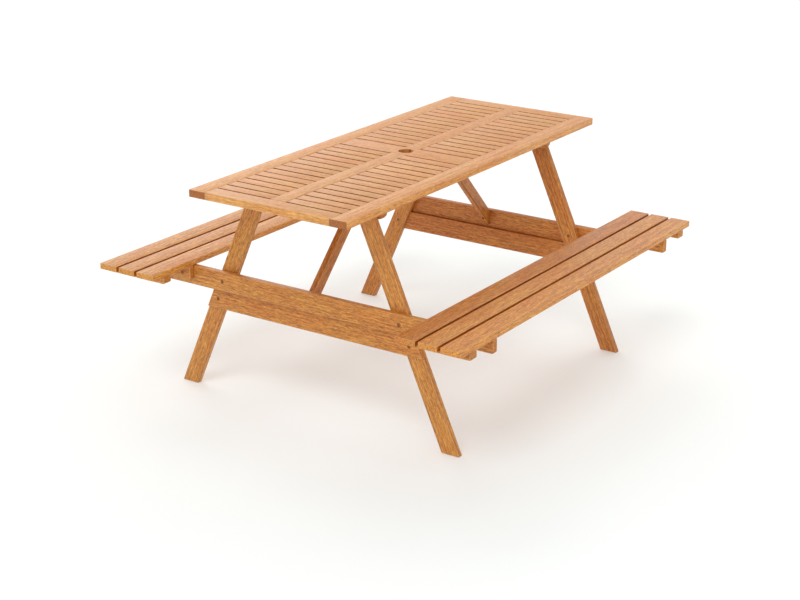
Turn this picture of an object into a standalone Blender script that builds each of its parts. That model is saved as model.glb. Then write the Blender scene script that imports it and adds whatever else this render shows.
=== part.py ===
"""Picnic table with two fixed benches: a slatted top on two bolted A-frames, in oiled hardwood.

Metres, +Z up. X runs along the benches, and the origin is on the floor under the parasol hole.
The ends of the table are a (-X) and b (+X). Its sides are left (+Y) and right (-Y).
"""

import math

import bmesh
import bpy
from mathutils import Matrix, Vector

# Room left between pieces that touch, and round a bolt in its hole.
GAP = 0.0003
# Chamfer that eases the edges of every board.
EASED_EDGE = 0.0012
# Facets in the quarter circle at a rounded lower corner.
CORNER_FACETS = 4
# How far a cutter runs past the face that it opens.
OVERRUN = 0.004

# Table top: a frame of two long side rails and two end rails round four slatted panels.
TABLE_HEIGHT = 0.740
TOP_LENGTH = 1.443
TOP_WIDTH = 0.578
TOP_THICKNESS = 0.023
SIDE_RAIL_WIDTH = 0.0605
CENTRE_BOARD_WIDTH = 0.0824
SPINE_WIDTH = 0.056
PARASOL_HOLE = 0.048
SLATS_PER_PANEL = 14
SLAT_WIDTH = 0.038
SLAT_GAP = 0.006
TONGUE_THICKNESS = 0.007
TONGUE_LENGTH = 0.008
GROOVE_STOP = 0.020

# Benches: three long slats each, on a batten near each end and a cleat at each frame.
SEAT_HEIGHT = 0.436
BENCH_LENGTH = 1.446
BENCH_INNER_Y = 0.4506
BENCH_OUTER_Y = 0.6713
BENCH_THICKNESS = 0.019
OUTER_SLAT_WIDTH = 0.068
MIDDLE_SLAT_WIDTH = 0.064
BENCH_BATTEN_X = 0.640
BENCH_BATTEN_WIDTH = 0.036
BENCH_BATTEN_THICKNESS = 0.022
CLEAT_HEIGHT = 0.0435
CLEAT_CORNER = 0.007

# A-frames: two splayed legs, an upper beam that carries the benches and a lower beam let into the legs.
BOARD_THICKNESS = 0.020
LEG_OUTER_X = 0.511
LEG_WIDTH = 0.0622
LEG_FOOT_Y = 0.5355
LEG_SPLAY = 0.4406
UPPER_BEAM_BOTTOM = 0.352
UPPER_BEAM_TOP = 0.4155
UPPER_BEAM_HALF_LENGTH = 0.575
LOWER_BEAM_BOTTOM = 0.2856
LOWER_BEAM_HOUSING = 0.011
TOP_BATTEN_HEIGHT = 0.038
TOP_BATTEN_HALF_LENGTH = 0.2545
TOP_BATTEN_CORNER = 0.022

# Braces from the spines down to the middle of the upper beams.
BRACE_SLOPE = math.radians(46.4)
BRACE_FOOT_Z = 0.3865
BRACE_WIDTH = 0.037
BRACE_THICKNESS = 0.022

# Connector bolts: a flat head and a barrel nut, both let in below the wood.
ROUND_SIDES = 14
BOLT_INSET = 0.0008
BOLT_HEAD_RADIUS = 0.0060
BOLT_HEAD_LENGTH = 0.0032
BOLT_SHANK_RADIUS = 0.0031
BARREL_NUT_RADIUS = 0.0050
BARREL_NUT_LENGTH = 0.0070
CLEAT_BOLT_OFFSETS = {"inner": 0.0305, "outer": 0.0950}
LEG_TOP_BOLT_DROP = 0.019
BRACE_SCREW_Z = 0.390
BRACE_SCREW_HEAD_X = 0.4915
BRACE_SCREW_TIP_X = 0.5250
BRACE_SCREW_HEAD_RADIUS = 0.0045
BRACE_SCREW_HEAD_LENGTH = 0.0030
BRACE_SCREW_SHANK_RADIUS = 0.0022

# Heights and places that follow from those sizes.
TOP_UNDERSIDE = TABLE_HEIGHT - TOP_THICKNESS
TOP_MIDDLE_Z = TABLE_HEIGHT - TOP_THICKNESS / 2
SIDE_RAIL_INNER_Y = TOP_WIDTH / 2 - SIDE_RAIL_WIDTH
PANEL_LENGTH = SLATS_PER_PANEL * SLAT_WIDTH + (SLATS_PER_PANEL + 1) * SLAT_GAP
PANEL_INNER_X = CENTRE_BOARD_WIDTH / 2
PANEL_OUTER_X = PANEL_INNER_X + PANEL_LENGTH
BENCH_UNDERSIDE = SEAT_HEIGHT - BENCH_THICKNESS
LEG_INNER_X = LEG_OUTER_X - BOARD_THICKNESS
UPPER_BEAM_X = LEG_OUTER_X + GAP
CLEAT_X = UPPER_BEAM_X + BOARD_THICKNESS + GAP
CLEAT_OUTER_X = CLEAT_X + BOARD_THICKNESS
LOWER_BEAM_X = LEG_OUTER_X - LOWER_BEAM_HOUSING
LOWER_BEAM_OUTER_X = LOWER_BEAM_X + BOARD_THICKNESS
LOWER_BEAM_TOP = UPPER_BEAM_BOTTOM - GAP
TOP_BATTEN_X = LEG_INNER_X - GAP - BOARD_THICKNESS
LEG_TOP_Z = TOP_UNDERSIDE - GAP

ENDS = {"a": -1, "b": 1}
SIDES = {"left": 1, "right": -1}


def clear_scene():
    for old in list(bpy.data.objects):
        bpy.data.objects.remove(old, do_unlink=True)


def make_material(name, colour, roughness, metallic=0.0):
    material = bpy.data.materials.new(name)
    material.use_nodes = True
    shader = material.node_tree.nodes["Principled BSDF"]
    shader.inputs["Base Color"].default_value = (*colour, 1.0)
    shader.inputs["Roughness"].default_value = roughness
    shader.inputs["Metallic"].default_value = metallic
    material.diffuse_color = (*colour, 1.0)
    return material


def add_object(name, mesh, location=(0, 0, 0), material=None):
    piece = bpy.data.objects.new(name, mesh)
    bpy.context.scene.collection.objects.link(piece)
    piece.location = location
    if material:
        mesh.materials.clear()
        mesh.materials.append(material)
        piece.parent = bpy.data.objects["picnic_table"]
    return piece


def as_cutter(piece):
    piece.hide_render = True
    piece.display_type = "WIRE"
    return piece


def box_mesh(name, size):
    mesh = bpy.data.meshes.new(name)
    shape = bmesh.new()
    bmesh.ops.create_cube(shape, size=1.0, matrix=Matrix.Diagonal((*size, 1.0)))
    shape.to_mesh(mesh)
    shape.free()
    return mesh


def add_box(name, low, high, material=None):
    """A plain box between two corners, given in any order, with its origin at its centre."""
    low, high = Vector(map(min, low, high)), Vector(map(max, low, high))
    return add_object(name, box_mesh(name, high - low), (low + high) / 2, material)


def ease_edges(board):
    bevel = board.modifiers.new("eased_edges", "BEVEL")
    bevel.width = EASED_EDGE
    bevel.segments = 1
    bevel.limit_method = "ANGLE"
    return board


def add_board(name, low, high, material):
    return ease_edges(add_box(name, low, high, material))


def add_prism(name, outline, axis, start, end, material):
    """A board cut to an outline in the plane across `axis` ("X" or "Y"), from start to end along that axis."""
    low, high = min(start, end), max(start, end)
    mesh = bpy.data.meshes.new(name)
    shape = bmesh.new()
    if axis == "X":
        corners = [shape.verts.new((low, across, up)) for across, up in outline]
        step = Vector((high - low, 0, 0))
    else:
        corners = [shape.verts.new((across, low, up)) for across, up in outline]
        step = Vector((0, high - low, 0))
    face = shape.faces.new(corners)
    grown = bmesh.ops.extrude_face_region(shape, geom=[face])["geom"]
    moved = [item for item in grown if isinstance(item, bmesh.types.BMVert)]
    bmesh.ops.translate(shape, vec=step, verts=moved)
    bmesh.ops.recalc_face_normals(shape, faces=shape.faces)
    shape.to_mesh(mesh)
    shape.free()
    centre = sum((vertex.co for vertex in mesh.vertices), Vector()) / len(mesh.vertices)
    mesh.transform(Matrix.Translation(-centre))
    return ease_edges(add_object(name, mesh, centre, material))


def lower_corner(end_y, bottom_z, radius):
    """Points (y, z) round the lower corner of a board that ends at end_y, from its end face to its underside."""
    arc = []
    for step in range(CORNER_FACETS + 1):
        turn = math.pi / 2 * step / CORNER_FACETS
        arc.append((end_y - radius * (1 - math.cos(turn)), bottom_z + radius * (1 - math.sin(turn))))
    return arc


def turned_mesh(name, profile):
    """A round solid about X. The profile lists (distance along X, radius) from the outer end inwards."""
    mesh = bpy.data.meshes.new(name)
    shape = bmesh.new()
    first, last = profile[0][0], profile[-1][0]
    line = [(first, 0.0), *profile, (last, 0.0)]
    points = [shape.verts.new((along, radius, 0)) for along, radius in line]
    edges = [shape.edges.new(pair) for pair in zip(points, points[1:])]
    bmesh.ops.spin(
        shape, geom=points + edges, axis=(1, 0, 0), cent=(0, 0, 0),
        angle=math.tau, steps=ROUND_SIDES, use_merge=True,
    )
    bmesh.ops.remove_doubles(shape, verts=shape.verts, dist=1e-6)
    bmesh.ops.recalc_face_normals(shape, faces=shape.faces)
    shape.to_mesh(mesh)
    shape.free()
    mesh.shade_smooth()
    mesh.set_sharp_from_angle(angle=math.radians(40))
    return mesh


def combine(board, tool, operation):
    boolean = board.modifiers.new(f"{operation.lower()}_{tool.name}", "BOOLEAN")
    boolean.operation = operation
    boolean.solver = "EXACT"
    boolean.object = tool


def cut(board, cutter):
    combine(board, cutter, "DIFFERENCE")


def join(board, tongue):
    combine(board, tongue, "UNION")


# ---- Table top


def tongue_box(name, low_x, high_x, low_y, high_y, room=0.0):
    """A flat tongue at half the thickness of the top, or with room, the groove or mortise that takes it."""
    half = TONGUE_THICKNESS / 2 + room
    low = (low_x, low_y, TOP_MIDDLE_Z - half)
    high = (high_x, high_y, TOP_MIDDLE_Z + half)
    return as_cutter(add_box(name, low, high))


def build_side_rails(material):
    """Full-length rails, with a stopped groove in the inner edge for every tongue of the top."""
    for side, y_sign in SIDES.items():
        rail = add_board(
            f"top_side_rail_{side}",
            (-TOP_LENGTH / 2, y_sign * SIDE_RAIL_INNER_Y, TOP_UNDERSIDE),
            (TOP_LENGTH / 2, y_sign * TOP_WIDTH / 2, TABLE_HEIGHT),
            material,
        )
        half_groove = TOP_LENGTH / 2 - GROOVE_STOP
        groove = tongue_box(
            f"groove_side_rail_{side}", -half_groove, half_groove,
            y_sign * (SIDE_RAIL_INNER_Y - OVERRUN),
            y_sign * (SIDE_RAIL_INNER_Y + TONGUE_LENGTH + GAP), GAP,
        )
        cut(rail, groove)


def add_cross_tongues(board, low_x, high_x):
    """Tongues on both ends of a board that lies across the top, into the side rails."""
    for side, y_sign in SIDES.items():
        tongue = tongue_box(
            f"tongue_{board.name}_{side}", low_x, high_x,
            y_sign * (SIDE_RAIL_INNER_Y - OVERRUN),
            y_sign * (SIDE_RAIL_INNER_Y + TONGUE_LENGTH),
        )
        join(board, tongue)


def cut_spine_mortise(board, edge_x, into):
    """A mortise for the end of a spine, from the edge at edge_x towards `into` (+1 or -1 along X)."""
    mortise = tongue_box(
        f"mortise_{board.name}_{'b' if into > 0 else 'a'}",
        edge_x - into * OVERRUN, edge_x + into * (TONGUE_LENGTH + GAP),
        -SPINE_WIDTH / 4 - GAP, SPINE_WIDTH / 4 + GAP, GAP,
    )
    cut(board, mortise)


def build_end_rails(material):
    for end, x_sign in ENDS.items():
        half_span = SIDE_RAIL_INNER_Y - GAP
        rail = add_board(
            f"top_end_rail_{end}",
            (x_sign * PANEL_OUTER_X, -half_span, TOP_UNDERSIDE),
            (x_sign * TOP_LENGTH / 2, half_span, TABLE_HEIGHT),
            material,
        )
        tongue_outer_x = TOP_LENGTH / 2 - GROOVE_STOP - GAP
        add_cross_tongues(rail, x_sign * (PANEL_OUTER_X + OVERRUN), x_sign * tongue_outer_x)
        cut_spine_mortise(rail, x_sign * PANEL_OUTER_X, x_sign)


def build_centre_board(material):
    """The board across the middle, with the parasol hole."""
    half_span = SIDE_RAIL_INNER_Y - GAP
    board = add_board(
        "top_centre_board",
        (-PANEL_INNER_X, -half_span, TOP_UNDERSIDE),
        (PANEL_INNER_X, half_span, TABLE_HEIGHT),
        material,
    )
    add_cross_tongues(board, -PANEL_INNER_X + OVERRUN, PANEL_INNER_X - OVERRUN)
    cut_spine_mortise(board, PANEL_INNER_X, -1)
    cut_spine_mortise(board, -PANEL_INNER_X, 1)
    bore = bpy.data.meshes.new("parasol_bore")
    shape = bmesh.new()
    bmesh.ops.create_cone(
        shape, cap_ends=True, segments=4 * ROUND_SIDES,
        radius1=PARASOL_HOLE / 2, radius2=PARASOL_HOLE / 2,
        depth=TOP_THICKNESS + 2 * OVERRUN,
    )
    shape.to_mesh(bore)
    shape.free()
    cut(board, as_cutter(add_object("parasol_bore", bore, (0, 0, TOP_MIDDLE_Z))))


def build_spines(material):
    """The middle rails of the two halves, tenoned at both ends and grooved along both edges."""
    for end, x_sign in ENDS.items():
        spine = add_board(
            f"top_spine_{end}",
            (x_sign * (PANEL_INNER_X + GAP), -SPINE_WIDTH / 2, TOP_UNDERSIDE),
            (x_sign * (PANEL_OUTER_X - GAP), SPINE_WIDTH / 2, TABLE_HEIGHT),
            material,
        )
        for place, start, reach in (
            ("inner", PANEL_INNER_X + OVERRUN, PANEL_INNER_X - TONGUE_LENGTH),
            ("outer", PANEL_OUTER_X - OVERRUN, PANEL_OUTER_X + TONGUE_LENGTH),
        ):
            tenon = tongue_box(
                f"tenon_spine_{end}_{place}", x_sign * start, x_sign * reach,
                -SPINE_WIDTH / 4, SPINE_WIDTH / 4,
            )
            join(spine, tenon)
        for side, y_sign in SIDES.items():
            groove = tongue_box(
                f"groove_spine_{end}_{side}",
                x_sign * (PANEL_INNER_X + SLAT_GAP - GAP), x_sign * (PANEL_OUTER_X - SLAT_GAP + GAP),
                y_sign * (SPINE_WIDTH / 2 - TONGUE_LENGTH - GAP), y_sign * (SPINE_WIDTH / 2 + OVERRUN), GAP,
            )
            cut(spine, groove)


def slats_mesh(name, width_y):
    """One panel's slats as boxes, from its first slat's inner edge at x = 0 outwards along +X."""
    mesh = bpy.data.meshes.new(name)
    shape = bmesh.new()
    size = Matrix.Diagonal((SLAT_WIDTH, width_y, TOP_THICKNESS, 1.0))
    for index in range(SLATS_PER_PANEL):
        middle = SLAT_WIDTH / 2 + index * (SLAT_WIDTH + SLAT_GAP)
        bmesh.ops.create_cube(shape, size=1.0, matrix=Matrix.Translation((middle, 0, 0)) @ size)
    shape.to_mesh(mesh)
    shape.free()
    return mesh


def build_slat_panels(material):
    """Four panels. Two long tongues, hidden in the grooves, hold the slats of a panel together."""
    inner_y = SPINE_WIDTH / 2 + GAP
    outer_y = SIDE_RAIL_INNER_Y - GAP
    first_x = PANEL_INNER_X + SLAT_GAP
    last_x = PANEL_OUTER_X - SLAT_GAP
    shared = slats_mesh("top_slats", outer_y - inner_y)
    for end, x_sign in ENDS.items():
        for side, y_sign in SIDES.items():
            start_x = first_x if x_sign > 0 else -last_x
            middle = (start_x, y_sign * (inner_y + outer_y) / 2, TOP_MIDDLE_Z)
            panel = add_object(f"top_slats_{end}_{side}", shared, middle, material)
            for place, start_y, reach_y in (
                ("inner", inner_y + OVERRUN, SPINE_WIDTH / 2 - TONGUE_LENGTH),
                ("outer", outer_y - OVERRUN, SIDE_RAIL_INNER_Y + TONGUE_LENGTH),
            ):
                tongue = tongue_box(
                    f"tongue_slats_{end}_{side}_{place}", x_sign * first_x, x_sign * last_x,
                    y_sign * start_y, y_sign * reach_y,
                )
                join(panel, tongue)


# ---- Benches


def bench_slat_spans():
    """Inner and outer y of the three slats of a bench, on its own side of the table."""
    gap = (BENCH_OUTER_Y - BENCH_INNER_Y - 2 * OUTER_SLAT_WIDTH - MIDDLE_SLAT_WIDTH) / 2
    middle = BENCH_INNER_Y + OUTER_SLAT_WIDTH + gap
    return {
        "inner": (BENCH_INNER_Y, BENCH_INNER_Y + OUTER_SLAT_WIDTH),
        "middle": (middle, middle + MIDDLE_SLAT_WIDTH),
        "outer": (BENCH_OUTER_Y - OUTER_SLAT_WIDTH, BENCH_OUTER_Y),
    }


def build_bench(side, y_sign, material):
    for place, (inner_y, outer_y) in bench_slat_spans().items():
        add_board(
            f"bench_{side}_slat_{place}",
            (-BENCH_LENGTH / 2, y_sign * inner_y, BENCH_UNDERSIDE),
            (BENCH_LENGTH / 2, y_sign * outer_y, SEAT_HEIGHT),
            material,
        )
    top = BENCH_UNDERSIDE - GAP
    for end, x_sign in ENDS.items():
        add_board(
            f"bench_{side}_batten_{end}",
            (x_sign * BENCH_BATTEN_X, y_sign * BENCH_INNER_Y, top - BENCH_BATTEN_THICKNESS),
            (x_sign * (BENCH_BATTEN_X + BENCH_BATTEN_WIDTH), y_sign * BENCH_OUTER_Y, top),
            material,
        )
        outline = [
            (BENCH_INNER_Y, top - CLEAT_HEIGHT), (BENCH_INNER_Y, top), (BENCH_OUTER_Y, top),
            *lower_corner(BENCH_OUTER_Y, top - CLEAT_HEIGHT, CLEAT_CORNER),
        ]
        add_prism(
            f"bench_{side}_cleat_{end}", [(y_sign * y, z) for y, z in outline], "X",
            x_sign * CLEAT_X, x_sign * CLEAT_OUTER_X, material,
        )


# ---- A-frames


def leg_outer_y(height):
    return LEG_FOOT_Y - LEG_SPLAY * height


def leg_middle_y(height):
    return leg_outer_y(height) - LEG_WIDTH / 2


def build_legs(end, x_sign, material):
    housing = as_cutter(
        add_box(
            f"housing_lower_beam_{end}",
            (x_sign * (LOWER_BEAM_X - GAP), -LEG_FOOT_Y, LOWER_BEAM_BOTTOM - GAP),
            (x_sign * (LEG_OUTER_X + OVERRUN), LEG_FOOT_Y, LOWER_BEAM_TOP + GAP),
        )
    )
    for side, y_sign in SIDES.items():
        outline = [
            (y_sign * leg_outer_y(0), 0),
            (y_sign * (leg_outer_y(0) - LEG_WIDTH), 0),
            (y_sign * (leg_outer_y(LEG_TOP_Z) - LEG_WIDTH), LEG_TOP_Z),
            (y_sign * leg_outer_y(LEG_TOP_Z), LEG_TOP_Z),
        ]
        leg = add_prism(
            f"leg_{end}_{side}", outline, "X", x_sign * LEG_INNER_X, x_sign * LEG_OUTER_X, material
        )
        cut(leg, housing)


def build_beams(end, x_sign, material):
    add_board(
        f"upper_beam_{end}",
        (x_sign * UPPER_BEAM_X, -UPPER_BEAM_HALF_LENGTH, UPPER_BEAM_BOTTOM),
        (x_sign * (UPPER_BEAM_X + BOARD_THICKNESS), UPPER_BEAM_HALF_LENGTH, UPPER_BEAM_TOP),
        material,
    )
    low_y, high_y = leg_outer_y(LOWER_BEAM_BOTTOM), leg_outer_y(LOWER_BEAM_TOP)
    outline = [
        (-low_y, LOWER_BEAM_BOTTOM), (low_y, LOWER_BEAM_BOTTOM),
        (high_y, LOWER_BEAM_TOP), (-high_y, LOWER_BEAM_TOP),
    ]
    add_prism(
        f"lower_beam_{end}", outline, "X",
        x_sign * LOWER_BEAM_X, x_sign * LOWER_BEAM_OUTER_X, material,
    )


def build_top_batten(end, x_sign, material):
    """The batten under the top that the leg heads are bolted to, with its lower corners rounded."""
    corner = lower_corner(TOP_BATTEN_HALF_LENGTH, LEG_TOP_Z - TOP_BATTEN_HEIGHT, TOP_BATTEN_CORNER)
    outline = [(TOP_BATTEN_HALF_LENGTH, LEG_TOP_Z), *corner]
    outline += [(-y, z) for y, z in reversed(outline)]
    add_prism(
        f"top_batten_{end}", outline, "X",
        x_sign * TOP_BATTEN_X, x_sign * (TOP_BATTEN_X + BOARD_THICKNESS), material,
    )


def build_brace(end, x_sign, material):
    foot_x = LEG_OUTER_X
    head_x = foot_x - (LEG_TOP_Z - BRACE_FOOT_Z) / math.tan(BRACE_SLOPE)
    half_head = BRACE_WIDTH / 2 / math.sin(BRACE_SLOPE)
    half_foot = BRACE_WIDTH / 2 / math.cos(BRACE_SLOPE)
    outline = [
        (x_sign * foot_x, BRACE_FOOT_Z - half_foot),
        (x_sign * foot_x, BRACE_FOOT_Z + half_foot),
        (x_sign * (head_x + half_head), LEG_TOP_Z),
        (x_sign * (head_x - half_head), LEG_TOP_Z),
    ]
    add_prism(
        f"brace_{end}", outline, "Y", -BRACE_THICKNESS / 2, BRACE_THICKNESS / 2, material
    )


# ---- Fasteners


def bolt_profile(grip, room=0.0, overrun=0.0):
    """Bolt and barrel nut through `grip` of wood, from the head at x = 0. With room, the hole for them."""
    head = (BOLT_INSET + BOLT_HEAD_LENGTH + room, BOLT_HEAD_RADIUS + room)
    nut_end = grip - BOLT_INSET
    nut = (nut_end - BARREL_NUT_LENGTH - room, BARREL_NUT_RADIUS + room)
    shank_radius = BOLT_SHANK_RADIUS + room
    outer, inner = (-overrun, grip + overrun) if overrun else (BOLT_INSET, nut_end)
    return [
        (outer, head[1]), head, (head[0], shank_radius),
        (nut[0], shank_radius), nut, (inner, nut[1]),
    ]


def brace_screw_profile(room=0.0, overrun=0.0):
    """Screw driven along X through the foot of a brace into the upper beam. With room, its pocket and hole."""
    head_start = BRACE_SCREW_HEAD_X - BRACE_SCREW_HEAD_LENGTH - overrun
    head_radius = BRACE_SCREW_HEAD_RADIUS + room
    shank_radius = BRACE_SCREW_SHANK_RADIUS + room
    return [
        (head_start, head_radius), (BRACE_SCREW_HEAD_X + room, head_radius),
        (BRACE_SCREW_HEAD_X + room, shank_radius), (BRACE_SCREW_TIP_X + room, shank_radius),
    ]


def place_on_end(piece, x_sign):
    """Turns a fastener modelled for end b about Z, so that it points the same way at end a."""
    if x_sign < 0:
        piece.rotation_euler = (0, 0, math.pi)
    return piece


def fit_bolt(name, x_sign, head_x, grip, y, z, boards, bolt, hole):
    """Puts a bolt with its head on the outer face of the frame, and drills its boards for it."""
    place = (x_sign * head_x, y, z)
    turned = add_object(name, bolt, place, bpy.data.materials["bronzed_steel"])
    cutter = as_cutter(add_object(f"hole_{name}", hole, place))
    for piece in (turned, cutter):
        place_on_end(piece, -x_sign)
    for board in boards:
        cut(bpy.data.objects[board], cutter)


def build_bolts():
    """Four kinds of bolt at each leg or cleat, which share their meshes by the thickness that they grip."""
    double_grip = 2 * BOARD_THICKNESS + GAP
    housed_grip = LOWER_BEAM_OUTER_X - LEG_INNER_X
    meshes = {}
    for grip in (double_grip, housed_grip):
        bolt = turned_mesh(f"bolt_{grip:.3f}", bolt_profile(grip))
        hole = turned_mesh(f"bolt_hole_{grip:.3f}", bolt_profile(grip, GAP, OVERRUN))
        meshes[grip] = (bolt, hole)
    upper_z = (UPPER_BEAM_BOTTOM + UPPER_BEAM_TOP) / 2
    lower_z = (LOWER_BEAM_BOTTOM + LOWER_BEAM_TOP) / 2
    cleat_z = BENCH_UNDERSIDE - GAP - CLEAT_HEIGHT / 2
    top_z = LEG_TOP_Z - LEG_TOP_BOLT_DROP
    beam_outer_x = UPPER_BEAM_X + BOARD_THICKNESS
    for end, x_sign in ENDS.items():
        for side, y_sign in SIDES.items():
            leg = f"leg_{end}_{side}"
            cleat = f"bench_{side}_cleat_{end}"
            beam = f"upper_beam_{end}"
            fittings = [
                ("leg_upper", beam_outer_x, double_grip, leg_middle_y(upper_z), upper_z, (beam, leg)),
                ("leg_lower", LOWER_BEAM_OUTER_X, housed_grip, leg_middle_y(lower_z), lower_z,
                 (f"lower_beam_{end}", leg)),
                ("leg_top", LEG_OUTER_X, double_grip, leg_middle_y(top_z), top_z,
                 (leg, f"top_batten_{end}")),
            ]
            for place, offset in CLEAT_BOLT_OFFSETS.items():
                fittings.append(
                    (f"cleat_{place}", CLEAT_OUTER_X, double_grip, BENCH_INNER_Y + offset, cleat_z,
                     (cleat, beam))
                )
            for kind, head_x, grip, y, z, boards in fittings:
                name = f"bolt_{kind}_{end}_{side}"
                fit_bolt(name, x_sign, head_x, grip, y_sign * y, z, boards, *meshes[grip])


def build_brace_screws():
    screw = turned_mesh("brace_screw", brace_screw_profile())
    pocket = turned_mesh("brace_pocket", brace_screw_profile(GAP, 10 * OVERRUN))
    for end, x_sign in ENDS.items():
        place = (0, 0, BRACE_SCREW_Z)
        piece = add_object(f"screw_brace_{end}", screw, place, bpy.data.materials["bronzed_steel"])
        cutter = as_cutter(add_object(f"pocket_brace_{end}", pocket, place))
        for turned in (piece, cutter):
            place_on_end(turned, x_sign)
        cut(bpy.data.objects[f"brace_{end}"], cutter)
        cut(bpy.data.objects[f"upper_beam_{end}"], cutter)


def main():
    clear_scene()
    root = bpy.data.objects.new("picnic_table", None)
    bpy.context.scene.collection.objects.link(root)
    top_timber = make_material("top_timber", (0.66, 0.38, 0.19), 0.50)
    bench_timber = make_material("bench_timber", (0.60, 0.32, 0.14), 0.50)
    frame_timber = make_material("frame_timber", (0.50, 0.24, 0.08), 0.55)
    make_material("bronzed_steel", (0.22, 0.12, 0.06), 0.45, metallic=1.0)
    build_side_rails(top_timber)
    build_end_rails(top_timber)
    build_centre_board(top_timber)
    build_spines(top_timber)
    build_slat_panels(top_timber)
    for side, y_sign in SIDES.items():
        build_bench(side, y_sign, bench_timber)
    for end, x_sign in ENDS.items():
        build_legs(end, x_sign, frame_timber)
        build_beams(end, x_sign, frame_timber)
        build_top_batten(end, x_sign, frame_timber)
        build_brace(end, x_sign, frame_timber)
    build_bolts()
    build_brace_screws()


main()
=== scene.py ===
"""Looks of the picnic table: oiled hardwood boards with eased edges and sunk bronzed bolts.

Metres, +Z up, in the frame of the CAD model. X runs along the benches. Every board is modelled again as
its own piece where the CAD puts it, so that its grain can follow its length. The studio is plain white.
"""

import math
import random

import bmesh
import bpy
from mathutils import Matrix, Vector


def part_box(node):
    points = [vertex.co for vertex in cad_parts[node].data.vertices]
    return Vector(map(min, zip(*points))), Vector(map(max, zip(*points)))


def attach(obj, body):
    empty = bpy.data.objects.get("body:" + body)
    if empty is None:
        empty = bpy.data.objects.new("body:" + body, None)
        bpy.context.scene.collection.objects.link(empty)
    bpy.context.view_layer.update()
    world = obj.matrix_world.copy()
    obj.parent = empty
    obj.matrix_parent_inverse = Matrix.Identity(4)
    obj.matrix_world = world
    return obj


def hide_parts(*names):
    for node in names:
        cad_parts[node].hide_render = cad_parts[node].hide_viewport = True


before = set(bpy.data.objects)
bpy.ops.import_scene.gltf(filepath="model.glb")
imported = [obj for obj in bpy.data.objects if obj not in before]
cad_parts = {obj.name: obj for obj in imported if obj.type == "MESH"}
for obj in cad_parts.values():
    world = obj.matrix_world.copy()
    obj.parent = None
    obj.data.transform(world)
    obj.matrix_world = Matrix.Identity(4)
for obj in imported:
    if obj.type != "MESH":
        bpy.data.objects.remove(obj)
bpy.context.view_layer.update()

ENDS = {"a": -1, "b": 1}
SIDES = {"left": 1, "right": -1}
SEED = 7

# Shapes that a node's box doesn't give.
SLATS_PER_PANEL = 14
SLAT_GAP = 0.006
SEAM = 0.0004
LEG_WIDTH = 0.0622
LEG_SPLAY = 0.4406
BRACE_SLOPE = math.radians(46.4)
BRACE_WIDTH = 0.037
BRACE_FOOT_Z = 0.3865
PARASOL_HOLE_RADIUS = 0.024
TOP_BATTEN_CORNER = 0.022
CLEAT_CORNER = 0.007
CORNER_STEPS = 6

# How far the edges of the boards are rounded over, and how true the boards are.
EDGE_ROUNDING = {
    "top_timber": (0.0013, 0.0019),
    "bench_timber": (0.0014, 0.0020),
    "frame_timber": (0.0024, 0.0030),
}
EDGE_STEPS = 3
SLAT_PLAY = 0.00025
SHARP_CORNER = math.radians(30)
TIMBER_CREASE = math.radians(32)
STEEL_CREASE = math.radians(35)

# Sunk fasteners.
BOLT_SINK = 0.0008
BOLT_HEAD_RADIUS = 0.0060
BOLT_HEAD_LENGTH = 0.0032
BOLT_SHANK_RADIUS = 0.0031
NUT_RADIUS = 0.0050
NUT_LENGTH = 0.0070
SCREW_HEAD_RADIUS = 0.0045
SCREW_SHANK_RADIUS = 0.0022
SCREW_POINT_LENGTH = 0.004
BRACE_POCKET_RADIUS = 0.0049
BRACE_POCKET_LENGTH = 0.043
SOCKET_RADIUS = 0.0023
SOCKET_DEPTH = 0.0020
RIM_ROUNDING = 0.0006
HOLE_ROOM = 0.0004
OVERRUN = 0.003
ROUND_SIDES = 32

# The studio: how bright its dome of light is at each elevation in degrees, and its soft lights, each
# with azimuth, elevation and spread in degrees, and strength.
DOME = ((0, 1.00), (12, 0.96), (20, 0.82), (35, 0.38), (55, 0.80), (85, 0.64))
SOFT_LIGHTS = {
    "back_left_light": (60, 35, 40, 0.80),
    "back_right_light": (10, 35, 40, 0.35),
    "low_back_light": (45, 12, 20, 0.12),
    "front_light": (190, 54, 28, 0.78),
}
WARM_WHITE = (1.0, 0.985, 0.965, 1.0)
FLOOR_COLOURS = ((0.690, 0.725, 0.725), (0.700, 0.735, 0.735))
FLOOR_GLOW = 0.285
FLOOR_HALF_SIZE = 40.0

# The camera's lens in millimetres, its place, and its pitch and heading in degrees.
CAMERA_LENS = 76.58
CAMERA_SENSOR = 36.0
CAMERA_PLACE = (-4.3762, -2.957, 2.1685)
CAMERA_PITCH = 69.86
CAMERA_HEADING = -55.75

# Timber: cells per metre along the fibres and across them for each layer of the pattern, and tints that
# multiply the wood's colour.
WAVER_SCALE = (7, 28, 28)
WAVER_REACH = (0.0, 0.009, 0.009)
RINGS_PER_METRE = 190.0
FIBRE_SCALE = (60, 520, 520)
STREAK_SCALE = (20, 180, 180)
FLECK_SCALE = (85, 440, 440)
PORE_SCALE = (110, 1400, 1400)
CLOUD_SCALE = (4.5, 17, 17)
RED_TINT = (0.96, 0.74, 0.62)
FLECK_TINT = (0.66, 0.44, 0.26)
PORE_TINT = (0.55, 0.38, 0.24)
# The colour of a painted highlight on rounded edges that don't face down, and how much of it shows.
EDGE_HIGHLIGHT_COLOUR = (0.92, 0.62, 0.34)
EDGE_HIGHLIGHT_AMOUNT = 0.15
GRAIN_RELIEF = 0.0005

# Bronzed steel: the two colours of its mottling, and cells per metre of the mottling and the scratches.
BRONZE_COLOURS = ((0.26, 0.11, 0.04), (0.46, 0.22, 0.09))
MOTTLE_SCALE = (900, 900, 900)
SCRATCH_SCALE = (4000, 300, 4000)
SCRATCH_RELIEF = 0.0001

# What the timber material may ask about a face.
FACE_KINDS = ("end_grain", "upright", "eased", "recess")
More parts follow.
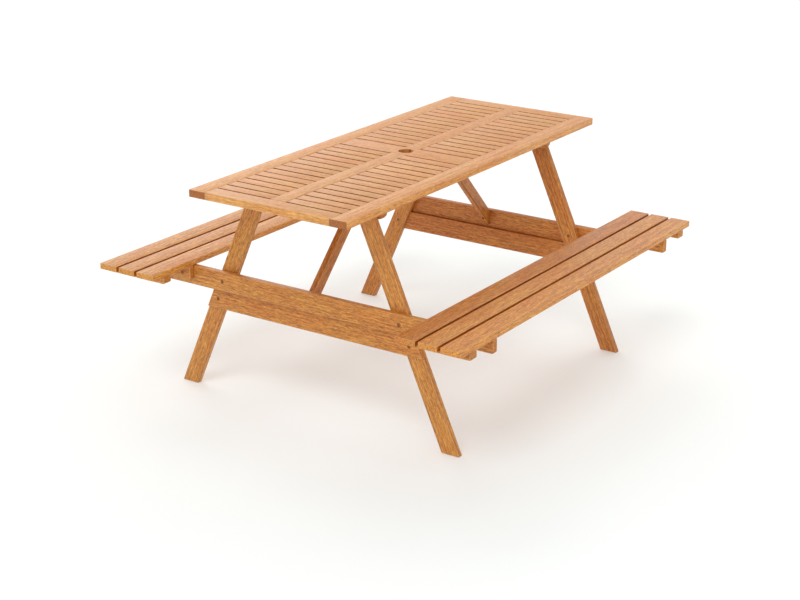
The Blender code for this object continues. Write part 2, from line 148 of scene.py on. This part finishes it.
# How much painted shade, in the recess colour, a rounded lower edge takes, and each hole of a board
# where
# # that isn't all of it: light reaches the whole wall of the wide parasol hole.
UNDERSIDE_PAINTED_SHADE = 0.65
HOLE_SHADES = {"top_centre_board": 0.42}

# Boards whose colour stands out from the rest: how red they are, and how light, from -1 to 1. This is
# # partly each board's own tone and partly painted shade: boards that stand in shade, such as the far
# # beams, the braces and the inner right bench slat, are made darker.
TONES_AND_PAINTED_SHADE = {
    "bench_right_slat_inner": (1.1, -0.8),
    "bench_right_slat_middle": (-0.2, 0.1),
    "bench_right_slat_outer": (0.1, 0.3),
    "top_side_rail_left": (-0.1, 0.4),
    "top_side_rail_right": (0.0, 0.2),
    "top_centre_board": (0.5, 0.0),
    "lower_beam_a": (0.4, -0.1),
    "upper_beam_a": (-0.3, 0.1),
    "lower_beam_b": (1.5, -0.5),
    "upper_beam_b": (1.3, -0.4),
    "leg_a_left": (-0.5, 0.0),
    "leg_a_right": (-1.0, 0.5),
    "leg_b_left": (0.5, -0.3),
    "leg_b_right": (0.8, -0.3),
    "brace_a": (1.1, -1.0),
    "brace_b": (1.2, -1.0),
}

draw = random.Random(SEED)


# ---- Materials


def add_node(tree, kind, inputs=None, **settings):
    """Adds a shader node, sets its properties and connects or sets its inputs, and returns it."""
    made = tree.nodes.new(kind)
    for name, value in settings.items():
        setattr(made, name, value)
    for name, value in (inputs or {}).items():
        if isinstance(value, bpy.types.NodeSocket):
            tree.links.new(value, made.inputs[name])
        else:
            made.inputs[name].default_value = value
    return made


def attribute(tree, name, output="Fac"):
    return add_node(tree, "ShaderNodeAttribute", attribute_name=name).outputs[output]


def combine(tree, operation, first, second):
    """Vector arithmetic on two vectors, each a socket or three numbers."""
    made = add_node(tree, "ShaderNodeVectorMath", {0: first, 1: second}, operation=operation)
    return made.outputs["Vector"]


def calculate(tree, operation, first, second):
    return add_node(tree, "ShaderNodeMath", {0: first, 1: second}, operation=operation).outputs["Value"]


def noise(tree, vector, scale, detail=2.0, roughness=0.5, output="Fac"):
    """Noise whose cells measure 1 / scale along each axis."""
    inputs = {"Vector": combine(tree, "MULTIPLY", vector, scale), "Scale": 1.0, "Detail": detail,
              "Roughness": roughness}
    return add_node(tree, "ShaderNodeTexNoise", inputs).outputs[output]


def spread(tree, value, low, high, to_low=0.0, to_high=1.0):
    """Maps low..high to to_low..to_high, and clamps."""
    inputs = {"Value": value, "From Min": low, "From Max": high, "To Min": to_low, "To Max": to_high}
    return add_node(tree, "ShaderNodeMapRange", inputs).outputs["Result"]


def mix(tree, factor, first, second, blend="MIX"):
    """Mixes two colours, each a socket or three numbers."""
    made = add_node(tree, "ShaderNodeMix", data_type="RGBA", blend_type=blend)
    for index, value in ((0, factor), (6, first), (7, second)):
        if isinstance(value, bpy.types.NodeSocket):
            tree.links.new(value, made.inputs[index])
        else:
            made.inputs[index].default_value = (*value, 1.0) if isinstance(value, tuple) else value
    return made.outputs[2]


def weighted_sum(tree, parts):
    total = 0.0
    for weight, value in parts:
        total = calculate(tree, "ADD", total, calculate(tree, "MULTIPLY", value, weight))
    return total


def new_material(name):
    material = bpy.data.materials.new(name)
    material.use_nodes = True
    return material, material.node_tree, material.node_tree.nodes["Principled BSDF"]


def timber(name, dark, middle, pale, end_grain_tint_and_light, upright_painted_light, recess_painted_shade, fleck_strength):
    """Oiled hardwood.

    The attribute `grain` holds each board's own coordinates, with the fibres along X. Dark, middle and
    pale are the colours of the grain. End grain takes its own tint, which on the benches brightens it as
    painted light. Upright faces take a tint, above one on the top and the benches, that brightens them
    as painted light. The recess tint is painted shade on faces across narrow gaps, on hole walls and on
    rounded edges that face down, and rounded edges that don't face down take a painted highlight.
    """
    material, tree, shader = new_material(name)
    grain = attribute(tree, "grain", "Vector")
    tone_red = attribute(tree, "tone_red")
    tone_light = attribute(tree, "tone_light")
    end = attribute(tree, "end_grain")
    eased = attribute(tree, "eased")
    upright = attribute(tree, "upright")
    recess = attribute(tree, "recess")

    waver = noise(tree, grain, WAVER_SCALE, detail=2.0, output="Color")
    waver = combine(tree, "SUBTRACT", waver, (0.5, 0.5, 0.5))
    wavy = combine(tree, "ADD", grain, combine(tree, "MULTIPLY", waver, WAVER_REACH))

    across = combine(tree, "MULTIPLY", wavy, (0, 1, 1))
    radius = add_node(tree, "ShaderNodeVectorMath", {0: across}, operation="LENGTH").outputs["Value"]
    rings = add_node(
        tree, "ShaderNodeTexNoise",
        {"W": calculate(tree, "MULTIPLY", radius, RINGS_PER_METRE), "Scale": 1.0, "Detail": 2.0,
         "Roughness": 0.6},
        noise_dimensions="1D",
    ).outputs["Fac"]
    fibres = noise(tree, wavy, FIBRE_SCALE, detail=3.0, roughness=0.65)
    streaks = noise(tree, wavy, STREAK_SCALE, detail=2.0, roughness=0.55)
    flecks = noise(tree, wavy, FLECK_SCALE, detail=1.0)
    pores = noise(tree, wavy, PORE_SCALE, detail=1.0)
    clouds = noise(tree, wavy, CLOUD_SCALE, detail=3.0, roughness=0.6)

    depth = weighted_sum(tree, (
        (0.18, spread(tree, rings, 0.28, 0.72)),
        (0.54, spread(tree, fibres, 0.32, 0.68)),
        (0.28, spread(tree, streaks, 0.30, 0.70)),
    ))
    ramp = add_node(tree, "ShaderNodeValToRGB", {"Fac": depth})
    for position, colour in ((0.20, dark), (0.80, pale)):
        stop = ramp.color_ramp.elements[0 if position < 0.5 else 1]
        stop.position = position
        stop.color = (*colour, 1)
    ramp.color_ramp.elements.new(0.50).color = (*middle, 1)

    cloud_redness = spread(tree, clouds, 0.36, 0.66, -0.05, 0.65)
    redness = spread(tree, weighted_sum(tree, ((1.0, cloud_redness), (0.32, tone_red))), 0.0, 1.0)
    colour = mix(tree, redness, ramp.outputs["Color"], RED_TINT, "MULTIPLY")
    fleck_mask = calculate(tree, "MULTIPLY", spread(tree, flecks, 0.56, 0.68), fleck_strength)
    colour = mix(tree, fleck_mask, colour, FLECK_TINT, "MULTIPLY")
    pore_mask = calculate(tree, "MULTIPLY", spread(tree, pores, 0.60, 0.74), fleck_strength)
    colour = mix(tree, pore_mask, colour, PORE_TINT, "MULTIPLY")
    lift = spread(tree, tone_light, -1.0, 1.0, 0.90, 1.10)
    lift = add_node(tree, "ShaderNodeCombineXYZ", {"X": lift, "Y": lift, "Z": lift}).outputs["Vector"]
    colour = mix(tree, 1.0, colour, lift, "MULTIPLY")
    # End grain takes its own tint; on the benches that tint brightens it, which is painted light.
    colour = mix(tree, end, colour, end_grain_tint_and_light, "MULTIPLY")
    # Upright faces are brightened by their tint where it is above one: painted light.
    colour = mix(tree, upright, colour, upright_painted_light, "MULTIPLY")
    # Painted shade on faces across narrow gaps, on hole walls and on rounded edges that face down.
    colour = mix(tree, recess, colour, recess_painted_shade, "MULTIPLY")
    # A painted highlight on the rounded edges that don't face down.
    colour = mix(tree, calculate(tree, "MULTIPLY", eased, EDGE_HIGHLIGHT_AMOUNT), colour, EDGE_HIGHLIGHT_COLOUR)
    tree.links.new(colour, shader.inputs["Base Color"])

    roughness = spread(tree, fibres, 0.30, 0.70, 0.40, 0.54)
    roughness = calculate(tree, "ADD", roughness, calculate(tree, "MULTIPLY", end, 0.15))
    tree.links.new(roughness, shader.inputs["Roughness"])
    # The painted shade also takes most of the specular off these faces.
    tree.links.new(spread(tree, recess, 0.0, 1.0, 0.5, 0.1), shader.inputs["Specular IOR Level"])
    height = calculate(tree, "SUBTRACT", fibres, calculate(tree, "MULTIPLY", pore_mask, 0.6))
    bump = add_node(tree, "ShaderNodeBump",
                    {"Strength": 0.35, "Distance": GRAIN_RELIEF, "Height": height})
    tree.links.new(bump.outputs["Normal"], shader.inputs["Normal"])
    return material


def bronzed_steel():
    """Dull bronze-coloured plating, mottled, with fine scratches."""
    material, tree, shader = new_material("bronzed_steel")
    place = add_node(tree, "ShaderNodeTexCoord").outputs["Object"]
    mottle = noise(tree, place, MOTTLE_SCALE, detail=3.0)
    scratches = noise(tree, place, SCRATCH_SCALE, detail=2.0)
    colour = mix(tree, spread(tree, mottle, 0.3, 0.7), *BRONZE_COLOURS)
    tree.links.new(colour, shader.inputs["Base Color"])
    tree.links.new(spread(tree, scratches, 0.3, 0.7, 0.35, 0.60), shader.inputs["Roughness"])
    bump = add_node(tree, "ShaderNodeBump",
                    {"Strength": 0.2, "Distance": SCRATCH_RELIEF, "Height": scratches})
    tree.links.new(bump.outputs["Normal"], shader.inputs["Normal"])
    shader.inputs["Metallic"].default_value = 1.0
    return material


def studio_white():
    """The floor: matt white with the faintest unevenness, and a little glow, as in an infinity cove."""
    material, tree, shader = new_material("studio_floor")
    place = add_node(tree, "ShaderNodeTexCoord").outputs["Object"]
    cloud = noise(tree, place, (0.8, 0.8, 0.8), detail=2.0)
    colour = mix(tree, cloud, *FLOOR_COLOURS)
    tree.links.new(colour, shader.inputs["Base Color"])
    shader.inputs["Roughness"].default_value = 0.9
    shader.inputs["Specular IOR Level"].default_value = 0.1
    shader.inputs["Emission Color"].default_value = WARM_WHITE
    shader.inputs["Emission Strength"].default_value = FLOOR_GLOW
    return material


# In each timber, a tint above one on upright faces or on the benches' end grain is painted light, and
# the recess tint is painted shade.
MATERIALS = {
    "top_timber": timber(
        "top_timber",
        dark=(0.45, 0.180, 0.042), middle=(0.65, 0.292, 0.077), pale=(0.79, 0.42, 0.135),
        end_grain_tint_and_light=(0.58, 0.43, 0.31), upright_painted_light=(1.14, 1.19, 1.14), recess_painted_shade=(0.30, 0.17, 0.09),
        fleck_strength=0.30,
    ),
    "bench_timber": timber(
        "bench_timber",
        dark=(0.35, 0.118, 0.018), middle=(0.61, 0.250, 0.044), pale=(0.81, 0.42, 0.092),
        end_grain_tint_and_light=(1.10, 1.18, 1.25), upright_painted_light=(1.10, 1.16, 1.20), recess_painted_shade=(0.66, 0.42, 0.10),
        fleck_strength=0.55,
    ),
    "frame_timber": timber(
        "frame_timber",
        dark=(0.32, 0.096, 0.012), middle=(0.57, 0.232, 0.037), pale=(0.79, 0.385, 0.074),
        end_grain_tint_and_light=(0.95, 0.88, 0.80), upright_painted_light=(1.0, 1.0, 1.0), recess_painted_shade=(0.26, 0.14, 0.05),
        fleck_strength=0.60,
    ),
    "bronzed_steel": bronzed_steel(),
}


# ---- Boards


def new_object(name, shape):
    """An object from a bmesh, which it frees."""
    mesh = bpy.data.meshes.new(name)
    shape.to_mesh(mesh)
    shape.free()
    made = bpy.data.objects.new(name, mesh)
    bpy.context.scene.collection.objects.link(made)
    return made


def turned_solid(name, profile, sides=ROUND_SIDES):
    """A round solid about X. The profile lists (distance along X, radius) from one end to the other."""
    shape = bmesh.new()
    line = [(profile[0][0], 0.0), *profile, (profile[-1][0], 0.0)]
    points = [shape.verts.new((along, radius, 0)) for along, radius in line]
    edges = [shape.edges.new(pair) for pair in zip(points, points[1:])]
    bmesh.ops.spin(shape, geom=points + edges, axis=(1, 0, 0), cent=(0, 0, 0),
                   angle=math.tau, steps=sides, use_merge=True)
    bmesh.ops.remove_doubles(shape, verts=shape.verts, dist=1e-7)
    bmesh.ops.recalc_face_normals(shape, faces=shape.faces)
    return new_object(name, shape)


def carve(board, cutters):
    """Cuts the cutters out of the board for good, and removes them."""
    for cutter in cutters:
        boolean = board.modifiers.new("cut", "BOOLEAN")
        boolean.operation = "DIFFERENCE"
        boolean.solver = "EXACT"
        boolean.object = cutter
    bpy.context.view_layer.update()
    graph = bpy.context.evaluated_depsgraph_get()
    mesh = bpy.data.meshes.new_from_object(board.evaluated_get(graph))
    board.modifiers.clear()
    board.data = mesh
    for cutter in cutters:
        bpy.data.objects.remove(cutter, do_unlink=True)


def face_kind(face, flats, facing, reach):
    """Whether a face is a rounded edge, whether it faces a narrow gap, and whether it lies in a hole."""
    near = [normal for normal, point in flats if abs((face.center - point).dot(normal)) < reach]
    on_flat = any(face.normal.dot(normal) > 0.995 for normal, point in flats)
    eased = not on_flat and len(near) > 1
    in_hole = not (on_flat or eased)
    in_gap = not in_hole and any(face.normal.dot(direction) > 0.9 for direction in facing)
    return eased, in_gap, in_hole


def tag_grain(mesh, name, flats, axes, centre, facing, reach):
    """Stores what the timber material reads: grain coordinates, tones and the kind of each face."""
    pith = Vector((draw.uniform(-9, 9), draw.uniform(0.03, 0.12), draw.uniform(0.02, 0.10)))
    pith.y *= draw.choice((-1, 1))
    tilt = Vector((0, draw.uniform(-0.02, 0.02), draw.uniform(-0.02, 0.02)))
    grain = mesh.attributes.new("grain", "FLOAT_VECTOR", "POINT")
    for vertex, value in zip(mesh.vertices, grain.data):
        offset = vertex.co - centre
        local = Vector([offset.dot(axis) for axis in axes])
        value.vector = local + pith + tilt * local.x
    drawn = (draw.uniform(-0.6, 0.6), draw.uniform(-0.5, 0.5))
    red, light = TONES_AND_PAINTED_SHADE.get(name, drawn)
    for attribute_name, tone in (("tone_red", red), ("tone_light", light)):
        for value in mesh.attributes.new(attribute_name, "FLOAT", "POINT").data:
            value.value = tone
    for kind in FACE_KINDS:
        mesh.attributes.new(kind, "FLOAT", "FACE")
    for face in mesh.polygons:
        eased, in_gap, in_hole = face_kind(face, flats, facing, reach)
        end_grain = abs(face.normal.dot(axes[0])) > 0.6 and not in_hole
        upright = abs(face.normal.z) < 0.5 and not end_grain
        underneath = eased and face.normal.z < -0.3
        # How much painted shade a face takes: all of it across a narrow gap, the given part in holes,
        # and some on rounded edges that face down.
        shade = (1.0 if in_gap else HOLE_SHADES.get(name, 1.0) if in_hole
                 else UNDERSIDE_PAINTED_SHADE if underneath else 0.0)
        # The third amount marks where the painted highlight goes: rounded edges that don't face down.
        amounts = (float(end_grain), float(upright), float(eased and not underneath), shade)
        for kind, amount in zip(FACE_KINDS, amounts):
            mesh.attributes[kind].data[face.index].value = amount


def make_board(name, corners, through, grain, slot, node, cutters=(), facing=()):
    """A board from the outline on one face, the vector through its thickness and its grain's direction.

    `facing` lists the directions in which it faces a neighbour across a narrow gap.
    """
    through, grain = Vector(through), Vector(grain).normalized()
    corners = [Vector(corner) for corner in corners]
    shape = bmesh.new()
    ring = [shape.verts.new(corner) for corner in corners]
    far = [shape.verts.new(corner + through) for corner in corners]
    shape.faces.new(ring)
    shape.faces.new(far[::-1])
    for index in range(len(ring)):
        after = (index + 1) % len(ring)
        shape.faces.new((ring[index], far[index], far[after], ring[after]))
    bmesh.ops.recalc_face_normals(shape, faces=shape.faces)
    shape.normal_update()
    flats = [(face.normal.copy(), face.calc_center_median()) for face in shape.faces]
    sharp = [edge for edge in shape.edges if edge.calc_face_angle() > SHARP_CORNER]
    bmesh.ops.bevel(
        shape, geom=sharp, offset=draw.uniform(*EDGE_ROUNDING[slot]), offset_type="OFFSET",
        segments=EDGE_STEPS, profile=0.5, affect="EDGES", clamp_overlap=True,
    )
    bmesh.ops.recalc_face_normals(shape, faces=shape.faces)
    board = new_object(name, shape)
    if cutters:
        carve(board, cutters)
    mesh = board.data
    mesh.name = name
    centre = sum(corners, through / 2 * len(corners)) / len(corners)
    thick = through.normalized()
    axes = (grain, thick.cross(grain), thick)
    tag_grain(mesh, name, flats, axes, centre, facing, EDGE_ROUNDING[slot][1])
    mesh.shade_smooth()
    mesh.set_sharp_from_angle(angle=TIMBER_CREASE)
    mesh.materials.clear()
    mesh.materials.append(MATERIALS[slot])
    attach(board, "root")
    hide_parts(node)


def make_box_board(name, low, high, grain_axis, slot, node, cutters=(), facing=()):
    """A rectangular board between two corners, with its grain along axis 0, 1 or 2 of the frame."""
    sizes = [high[axis] - low[axis] for axis in range(3)]
    others = sorted((axis for axis in range(3) if axis != grain_axis), key=lambda axis: sizes[axis])
    thin_axis, wide_axis = others
    along, wide, thin = (Vector(), Vector(), Vector())
    along[grain_axis] = sizes[grain_axis]
    wide[wide_axis] = sizes[wide_axis]
    thin[thin_axis] = sizes[thin_axis]
    start = Vector(low)
    corners = [start, start + along, start + along + wide, start + wide]
    make_board(name, corners, thin, along, slot, node, cutters, facing)


def make_profile_board(node, outline, slot, cutters=(), grain=(0, 1, 0)):
    """A board that fills its CAD node along X, cut to an outline of (y, z) points."""
    low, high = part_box(node)
    corners = [(low.x, y, z) for y, z in outline]
    make_board(node, corners, (high.x - low.x, 0, 0), grain, slot, node, cutters)


def lower_corner(tip, bottom, radius, y_sign):
    """Points (y, z) round the lower corner of a board that ends at y = tip, down to its underside."""
    turns = [math.pi / 2 * step / CORNER_STEPS for step in range(CORNER_STEPS + 1)]
    return [(tip - y_sign * radius * (1 - math.cos(turn)), bottom + radius * (1 - math.sin(turn)))
            for turn in turns]


def bolt_hole(node):
    """A cutter for the counterbores and the shank of the bolt at this CAD node."""
    low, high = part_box(node)
    outward = 1 if (low.x + high.x) > 0 else -1
    head_x = high.x if outward > 0 else low.x
    grip = high.x - low.x + 2 * BOLT_SINK
    head_depth = BOLT_SINK + BOLT_HEAD_LENGTH + HOLE_ROOM
    nut_start = grip - BOLT_SINK - NUT_LENGTH - HOLE_ROOM
    head, shank, nut = (size + HOLE_ROOM for size in (BOLT_HEAD_RADIUS, BOLT_SHANK_RADIUS, NUT_RADIUS))
    profile = [(-OVERRUN, head), (head_depth, head), (head_depth, shank), (nut_start, shank),
               (nut_start, nut), (grip + OVERRUN, nut)]
    cutter = turned_solid("hole", profile)
    cutter.location = (head_x + outward * BOLT_SINK, (low.y + high.y) / 2, (low.z + high.z) / 2)
    cutter.rotation_euler = (0, 0, math.pi if outward > 0 else 0)
    return cutter


def bolt_holes(kinds, end, sides=SIDES):
    return [bolt_hole(f"bolt_{kind}_{end}_{side}") for side in sides for kind in kinds]


def inner_edge_y(side):
    """The y of the inner edge of a side rail."""
    low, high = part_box(f"top_side_rail_{side}")
    return low.y if SIDES[side] > 0 else high.y


def panel_span(end):
    """The x between which a half of the top is slatted: centre board's edge, end rail's inner edge."""
    centre_low, centre_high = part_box("top_centre_board")
    rail_low, rail_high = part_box(f"top_end_rail_{end}")
    return (centre_high.x, rail_low.x) if ENDS[end] > 0 else (rail_high.x, centre_low.x)


def both_ways(axis):
    """The two directions along axis 0, 1 or 2."""
    return [Vector([way if index == axis else 0 for index in range(3)]) for way in (-1, 1)]


def parasol_bore(low_z, high_z):
    """A cutter for the round hole through the centre board."""
    ends = [(-OVERRUN, PARASOL_HOLE_RADIUS), (high_z - low_z + OVERRUN, PARASOL_HOLE_RADIUS)]
    bore = turned_solid("bore", ends, 2 * ROUND_SIDES)
    bore.rotation_euler = (0, -math.pi / 2, 0)
    bore.location = (0, 0, low_z)
    return bore


def build_top_rails():
    for side, y_sign in SIDES.items():
        node = f"top_side_rail_{side}"
        inwards = Vector((0, -y_sign, 0))
        make_box_board(node, *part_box(node), 0, "top_timber", node, facing=[inwards])
    for end, x_sign in ENDS.items():
        node = f"top_end_rail_{end}"
        low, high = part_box(node)
        low.y, high.y = inner_edge_y("right") + SEAM, inner_edge_y("left") - SEAM
        inwards = Vector((-x_sign, 0, 0))
        make_box_board(node, low, high, 1, "top_timber", node, facing=[inwards])
    node = "top_centre_board"
    low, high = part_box(node)
    low.y, high.y = inner_edge_y("right") + SEAM, inner_edge_y("left") - SEAM
    make_box_board(node, low, high, 1, "top_timber", node, [parasol_bore(low.z, high.z)], both_ways(0))
    for end in ENDS:
        node = f"top_spine_{end}"
        low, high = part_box(node)
        start, stop = panel_span(end)
        low.x, high.x = start + SEAM, stop - SEAM
        make_box_board(node, low, high, 0, "top_timber", node, facing=both_ways(1))


def build_slats():
    """Every slat of the top as its own piece, a hair off its neighbours in height and thickness."""
    for end in ENDS:
        start, stop = panel_span(end)
        pitch = (stop - start - SLAT_GAP) / SLATS_PER_PANEL
        spine_low, spine_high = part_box(f"top_spine_{end}")
        for side, y_sign in SIDES.items():
            node = f"top_slats_{end}_{side}"
            low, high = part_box(node)
            if y_sign > 0:
                low.y, high.y = spine_high.y + SEAM, inner_edge_y(side) - SEAM
            else:
                low.y, high.y = inner_edge_y(side) + SEAM, spine_low.y - SEAM
            for index in range(SLATS_PER_PANEL):
                first = start + SLAT_GAP + index * pitch + draw.uniform(-SLAT_PLAY, SLAT_PLAY)
                drop = draw.uniform(0, SLAT_PLAY)
                slat_low = Vector((first, low.y, low.z))
                slat_high = Vector((first + pitch - SLAT_GAP, high.y, high.z - drop))
                make_box_board(f"top_slat_{end}_{side}_{index + 1:02d}", slat_low, slat_high,
                               1, "top_timber", node, facing=both_ways(0))


def build_benches():
    for side, y_sign in SIDES.items():
        inwards, outwards = Vector((0, -y_sign, 0)), Vector((0, y_sign, 0))
        neighbours = {"inner": [outwards], "middle": [inwards, outwards], "outer": [inwards]}
        for place, facing in neighbours.items():
            node = f"bench_{side}_slat_{place}"
            make_box_board(node, *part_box(node), 0, "bench_timber", node, facing=facing)
        for end in ENDS:
            node = f"bench_{side}_batten_{end}"
            make_box_board(node, *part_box(node), 1, "frame_timber", node)
            node = f"bench_{side}_cleat_{end}"
            low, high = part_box(node)
            root, tip = (low.y, high.y) if y_sign > 0 else (high.y, low.y)
            outline = [(root, low.z), (root, high.z), (tip, high.z),
                       *lower_corner(tip, low.z, CLEAT_CORNER, y_sign)]
            make_profile_board(node, outline, "frame_timber",
                               bolt_holes(("cleat_inner", "cleat_outer"), end, [side]))


def leg_slope(end, side):
    """A function that gives |y| of the outer edge of a leg at a height."""
    low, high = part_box(f"leg_{end}_{side}")
    middle_y, middle_z = abs(low.y + high.y) / 2, (low.z + high.z) / 2
    return lambda z: middle_y - LEG_SPLAY * (z - middle_z) + LEG_WIDTH / 2


def build_legs():
    for end in ENDS:
        beam_low, beam_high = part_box(f"lower_beam_{end}")
        for side, y_sign in SIDES.items():
            node = f"leg_{end}_{side}"
            low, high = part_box(node)
            outer_y = leg_slope(end, side)
            outline = [(y_sign * (outer_y(z) - inset), z) for z, inset in (
                (low.z, 0), (low.z, LEG_WIDTH), (high.z, LEG_WIDTH), (high.z, 0))]
            shape = bmesh.new()
            size = (beam_high.x - beam_low.x + 2 * SEAM, 2 * outer_y(0),
                    beam_high.z - beam_low.z + 2 * SEAM)
            bmesh.ops.create_cube(shape, size=1.0, matrix=Matrix.Diagonal((*size, 1.0)))
            housing = new_object("housing", shape)
            housing.location = (beam_low + beam_high) / 2
            holes = bolt_holes(("leg_upper", "leg_lower", "leg_top"), end, [side])
            make_profile_board(node, outline, "frame_timber", [housing, *holes],
                               grain=(0, -y_sign * LEG_SPLAY, 1))


def build_beams():
    for end in ENDS:
        node = f"upper_beam_{end}"
        low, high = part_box(node)
        outline = [(low.y, low.z), (high.y, low.z), (high.y, high.z), (low.y, high.z)]
        make_profile_board(node, outline, "frame_timber",
                           bolt_holes(("leg_upper", "cleat_inner", "cleat_outer"), end))
        node = f"lower_beam_{end}"
        low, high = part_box(node)
        outer_y = leg_slope(end, "left")
        outline = [(-outer_y(low.z), low.z), (outer_y(low.z), low.z),
                   (outer_y(high.z), high.z), (-outer_y(high.z), high.z)]
        make_profile_board(node, outline, "frame_timber", bolt_holes(("leg_lower",), end))


def build_top_battens():
    for end in ENDS:
        node = f"top_batten_{end}"
        low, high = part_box(node)
        outline = [(high.y, high.z), *lower_corner(high.y, low.z, TOP_BATTEN_CORNER, 1)]
        outline += [(-y, z) for y, z in reversed(outline)]
        make_profile_board(node, outline, "frame_timber", bolt_holes(("leg_top",), end))


def build_braces():
    for end, x_sign in ENDS.items():
        node = f"brace_{end}"
        low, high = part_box(node)
        foot_x = max(abs(low.x), abs(high.x))
        head_x = foot_x - (high.z - BRACE_FOOT_Z) / math.tan(BRACE_SLOPE)
        half_head = BRACE_WIDTH / 2 / math.sin(BRACE_SLOPE)
        half_foot = BRACE_WIDTH / 2 / math.cos(BRACE_SLOPE)
        outline = [(foot_x, BRACE_FOOT_Z - half_foot), (foot_x, BRACE_FOOT_Z + half_foot),
                   (head_x + half_head, high.z), (head_x - half_head, high.z)]
        screw_low, screw_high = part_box(f"screw_brace_{end}")
        head_end = min(abs(screw_low.x), abs(screw_high.x)) + BOLT_HEAD_LENGTH
        pocket_ends = [(0, BRACE_POCKET_RADIUS), (BRACE_POCKET_LENGTH, BRACE_POCKET_RADIUS)]
        pocket = turned_solid("pocket", pocket_ends)
        pocket.location = (x_sign * head_end, 0, (screw_low.z + screw_high.z) / 2)
        pocket.rotation_euler = (0, 0, math.pi if x_sign > 0 else 0)
        corners = [(x_sign * x, low.y, z) for x, z in outline]
        grain = (x_sign * math.cos(BRACE_SLOPE), 0, -math.sin(BRACE_SLOPE))
        make_board(node, corners, (0, high.y - low.y, 0), grain, "frame_timber", node, [pocket])


# ---- Fasteners


def hex_socket(at_x):
    """A cutter for a six-sided drive recess in the end of a bolt."""
    shape = bmesh.new()
    bmesh.ops.create_cone(shape, cap_ends=True, segments=6, radius1=SOCKET_RADIUS, radius2=SOCKET_RADIUS,
                          depth=2 * SOCKET_DEPTH)
    socket = new_object("socket", shape)
    socket.rotation_euler = (0, math.pi / 2, 0)
    socket.location = (at_x, 0, 0)
    return socket


def fastener_mesh(name, length, head_radius, shank_radius, nut_radius):
    """Bolt from its head at x = 0 to the end of its nut, with softened rims. A screw has no nut."""
    rim = RIM_ROUNDING
    profile = [
        (0.0, head_radius - rim), (rim * 0.3, head_radius - rim * 0.3), (rim, head_radius),
        (BOLT_HEAD_LENGTH, head_radius), (BOLT_HEAD_LENGTH, shank_radius),
    ]
    if nut_radius:
        nut_start = length - NUT_LENGTH
        profile += [(nut_start, shank_radius), (nut_start, nut_radius), (length - rim, nut_radius),
                    (length, nut_radius - rim)]
    else:
        profile += [(length - SCREW_POINT_LENGTH, shank_radius), (length, shank_radius * 0.2)]
    solid = turned_solid(name, profile)
    carve(solid, [hex_socket(at_x) for at_x in ((0.0, length) if nut_radius else (0.0,))])
    mesh = solid.data
    bpy.data.objects.remove(solid, do_unlink=True)
    mesh.shade_smooth()
    mesh.set_sharp_from_angle(angle=STEEL_CREASE)
    mesh.materials.clear()
    mesh.materials.append(MATERIALS["bronzed_steel"])
    return mesh


def build_fasteners():
    meshes = {}
    for node in sorted(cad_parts):
        if not node.startswith(("bolt_", "screw_")):
            continue
        low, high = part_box(node)
        kind = (round(high.x - low.x, 4), node.startswith("screw_"))
        length, is_screw = kind
        if kind not in meshes:
            sizes = (BOLT_HEAD_RADIUS, BOLT_SHANK_RADIUS, NUT_RADIUS)
            if is_screw:
                sizes = (SCREW_HEAD_RADIUS, SCREW_SHANK_RADIUS, 0.0)
            meshes[kind] = fastener_mesh(f"fastener_{len(meshes)}", length, *sizes)
        piece = bpy.data.objects.new(f"{node}_piece", meshes[kind])
        bpy.context.scene.collection.objects.link(piece)
        head_on_right = (low.x + high.x > 0) != is_screw
        piece.location = (high.x if head_on_right else low.x, (low.y + high.y) / 2, (low.z + high.z) / 2)
        piece.rotation_euler = (draw.uniform(0, math.tau), 0, math.pi if head_on_right else 0)
        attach(piece, "root")
        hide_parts(node)


# ---- Studio


def build_floor():
    shape = bmesh.new()
    bmesh.ops.create_grid(shape, x_segments=8, y_segments=8, size=FLOOR_HALF_SIZE)
    floor = new_object("studio_floor", shape)
    floor.data.materials.append(studio_white())


def add_soft_light(name, azimuth, elevation, spread_angle, strength):
    """A soft light from a direction in degrees, with azimuth 0 at +X and 90 at +Y."""
    data = bpy.data.lights.new(name, "SUN")
    data.energy = strength
    data.angle = math.radians(spread_angle)
    lamp = bpy.data.objects.new(name, data)
    turn, rise = math.radians(azimuth), math.radians(elevation)
    towards = Vector((math.cos(turn) * math.cos(rise), math.sin(turn) * math.cos(rise), math.sin(rise)))
    lamp.rotation_euler = towards.to_track_quat("Z", "Y").to_euler()
    bpy.context.scene.collection.objects.link(lamp)


def build_lights():
    world = bpy.data.worlds.new("studio")
    world.use_nodes = True
    tree = world.node_tree
    direction = add_node(tree, "ShaderNodeTexCoord").outputs["Generated"]
    height = add_node(tree, "ShaderNodeSeparateXYZ", {"Vector": direction}).outputs["Z"]
    ramp = add_node(tree, "ShaderNodeValToRGB", {"Fac": height})
    for index, (elevation, light) in enumerate(DOME):
        stops = ramp.color_ramp.elements
        stop = stops[index] if index < 2 else stops.new(1.0)
        stop.position = math.sin(math.radians(elevation))
        stop.color = [light * channel for channel in WARM_WHITE]
    tree.links.new(ramp.outputs["Color"], tree.nodes["Background"].inputs["Color"])
    bpy.context.scene.world = world
    for name, settings in SOFT_LIGHTS.items():
        add_soft_light(name, *settings)


def build_camera():
    data = bpy.data.cameras.new("camera")
    data.sensor_width = CAMERA_SENSOR
    data.lens = CAMERA_LENS
    camera = bpy.data.objects.new("camera", data)
    camera.location = CAMERA_PLACE
    camera.rotation_euler = (math.radians(CAMERA_PITCH), 0, math.radians(CAMERA_HEADING))
    bpy.context.scene.collection.objects.link(camera)
    bpy.context.scene.camera = camera
    bpy.context.scene.view_settings.view_transform = "Standard"


build_top_rails()
build_slats()
build_benches()
build_legs()
build_beams()
build_top_battens()
build_braces()
build_fasteners()
build_floor()
build_lights()
build_camera()
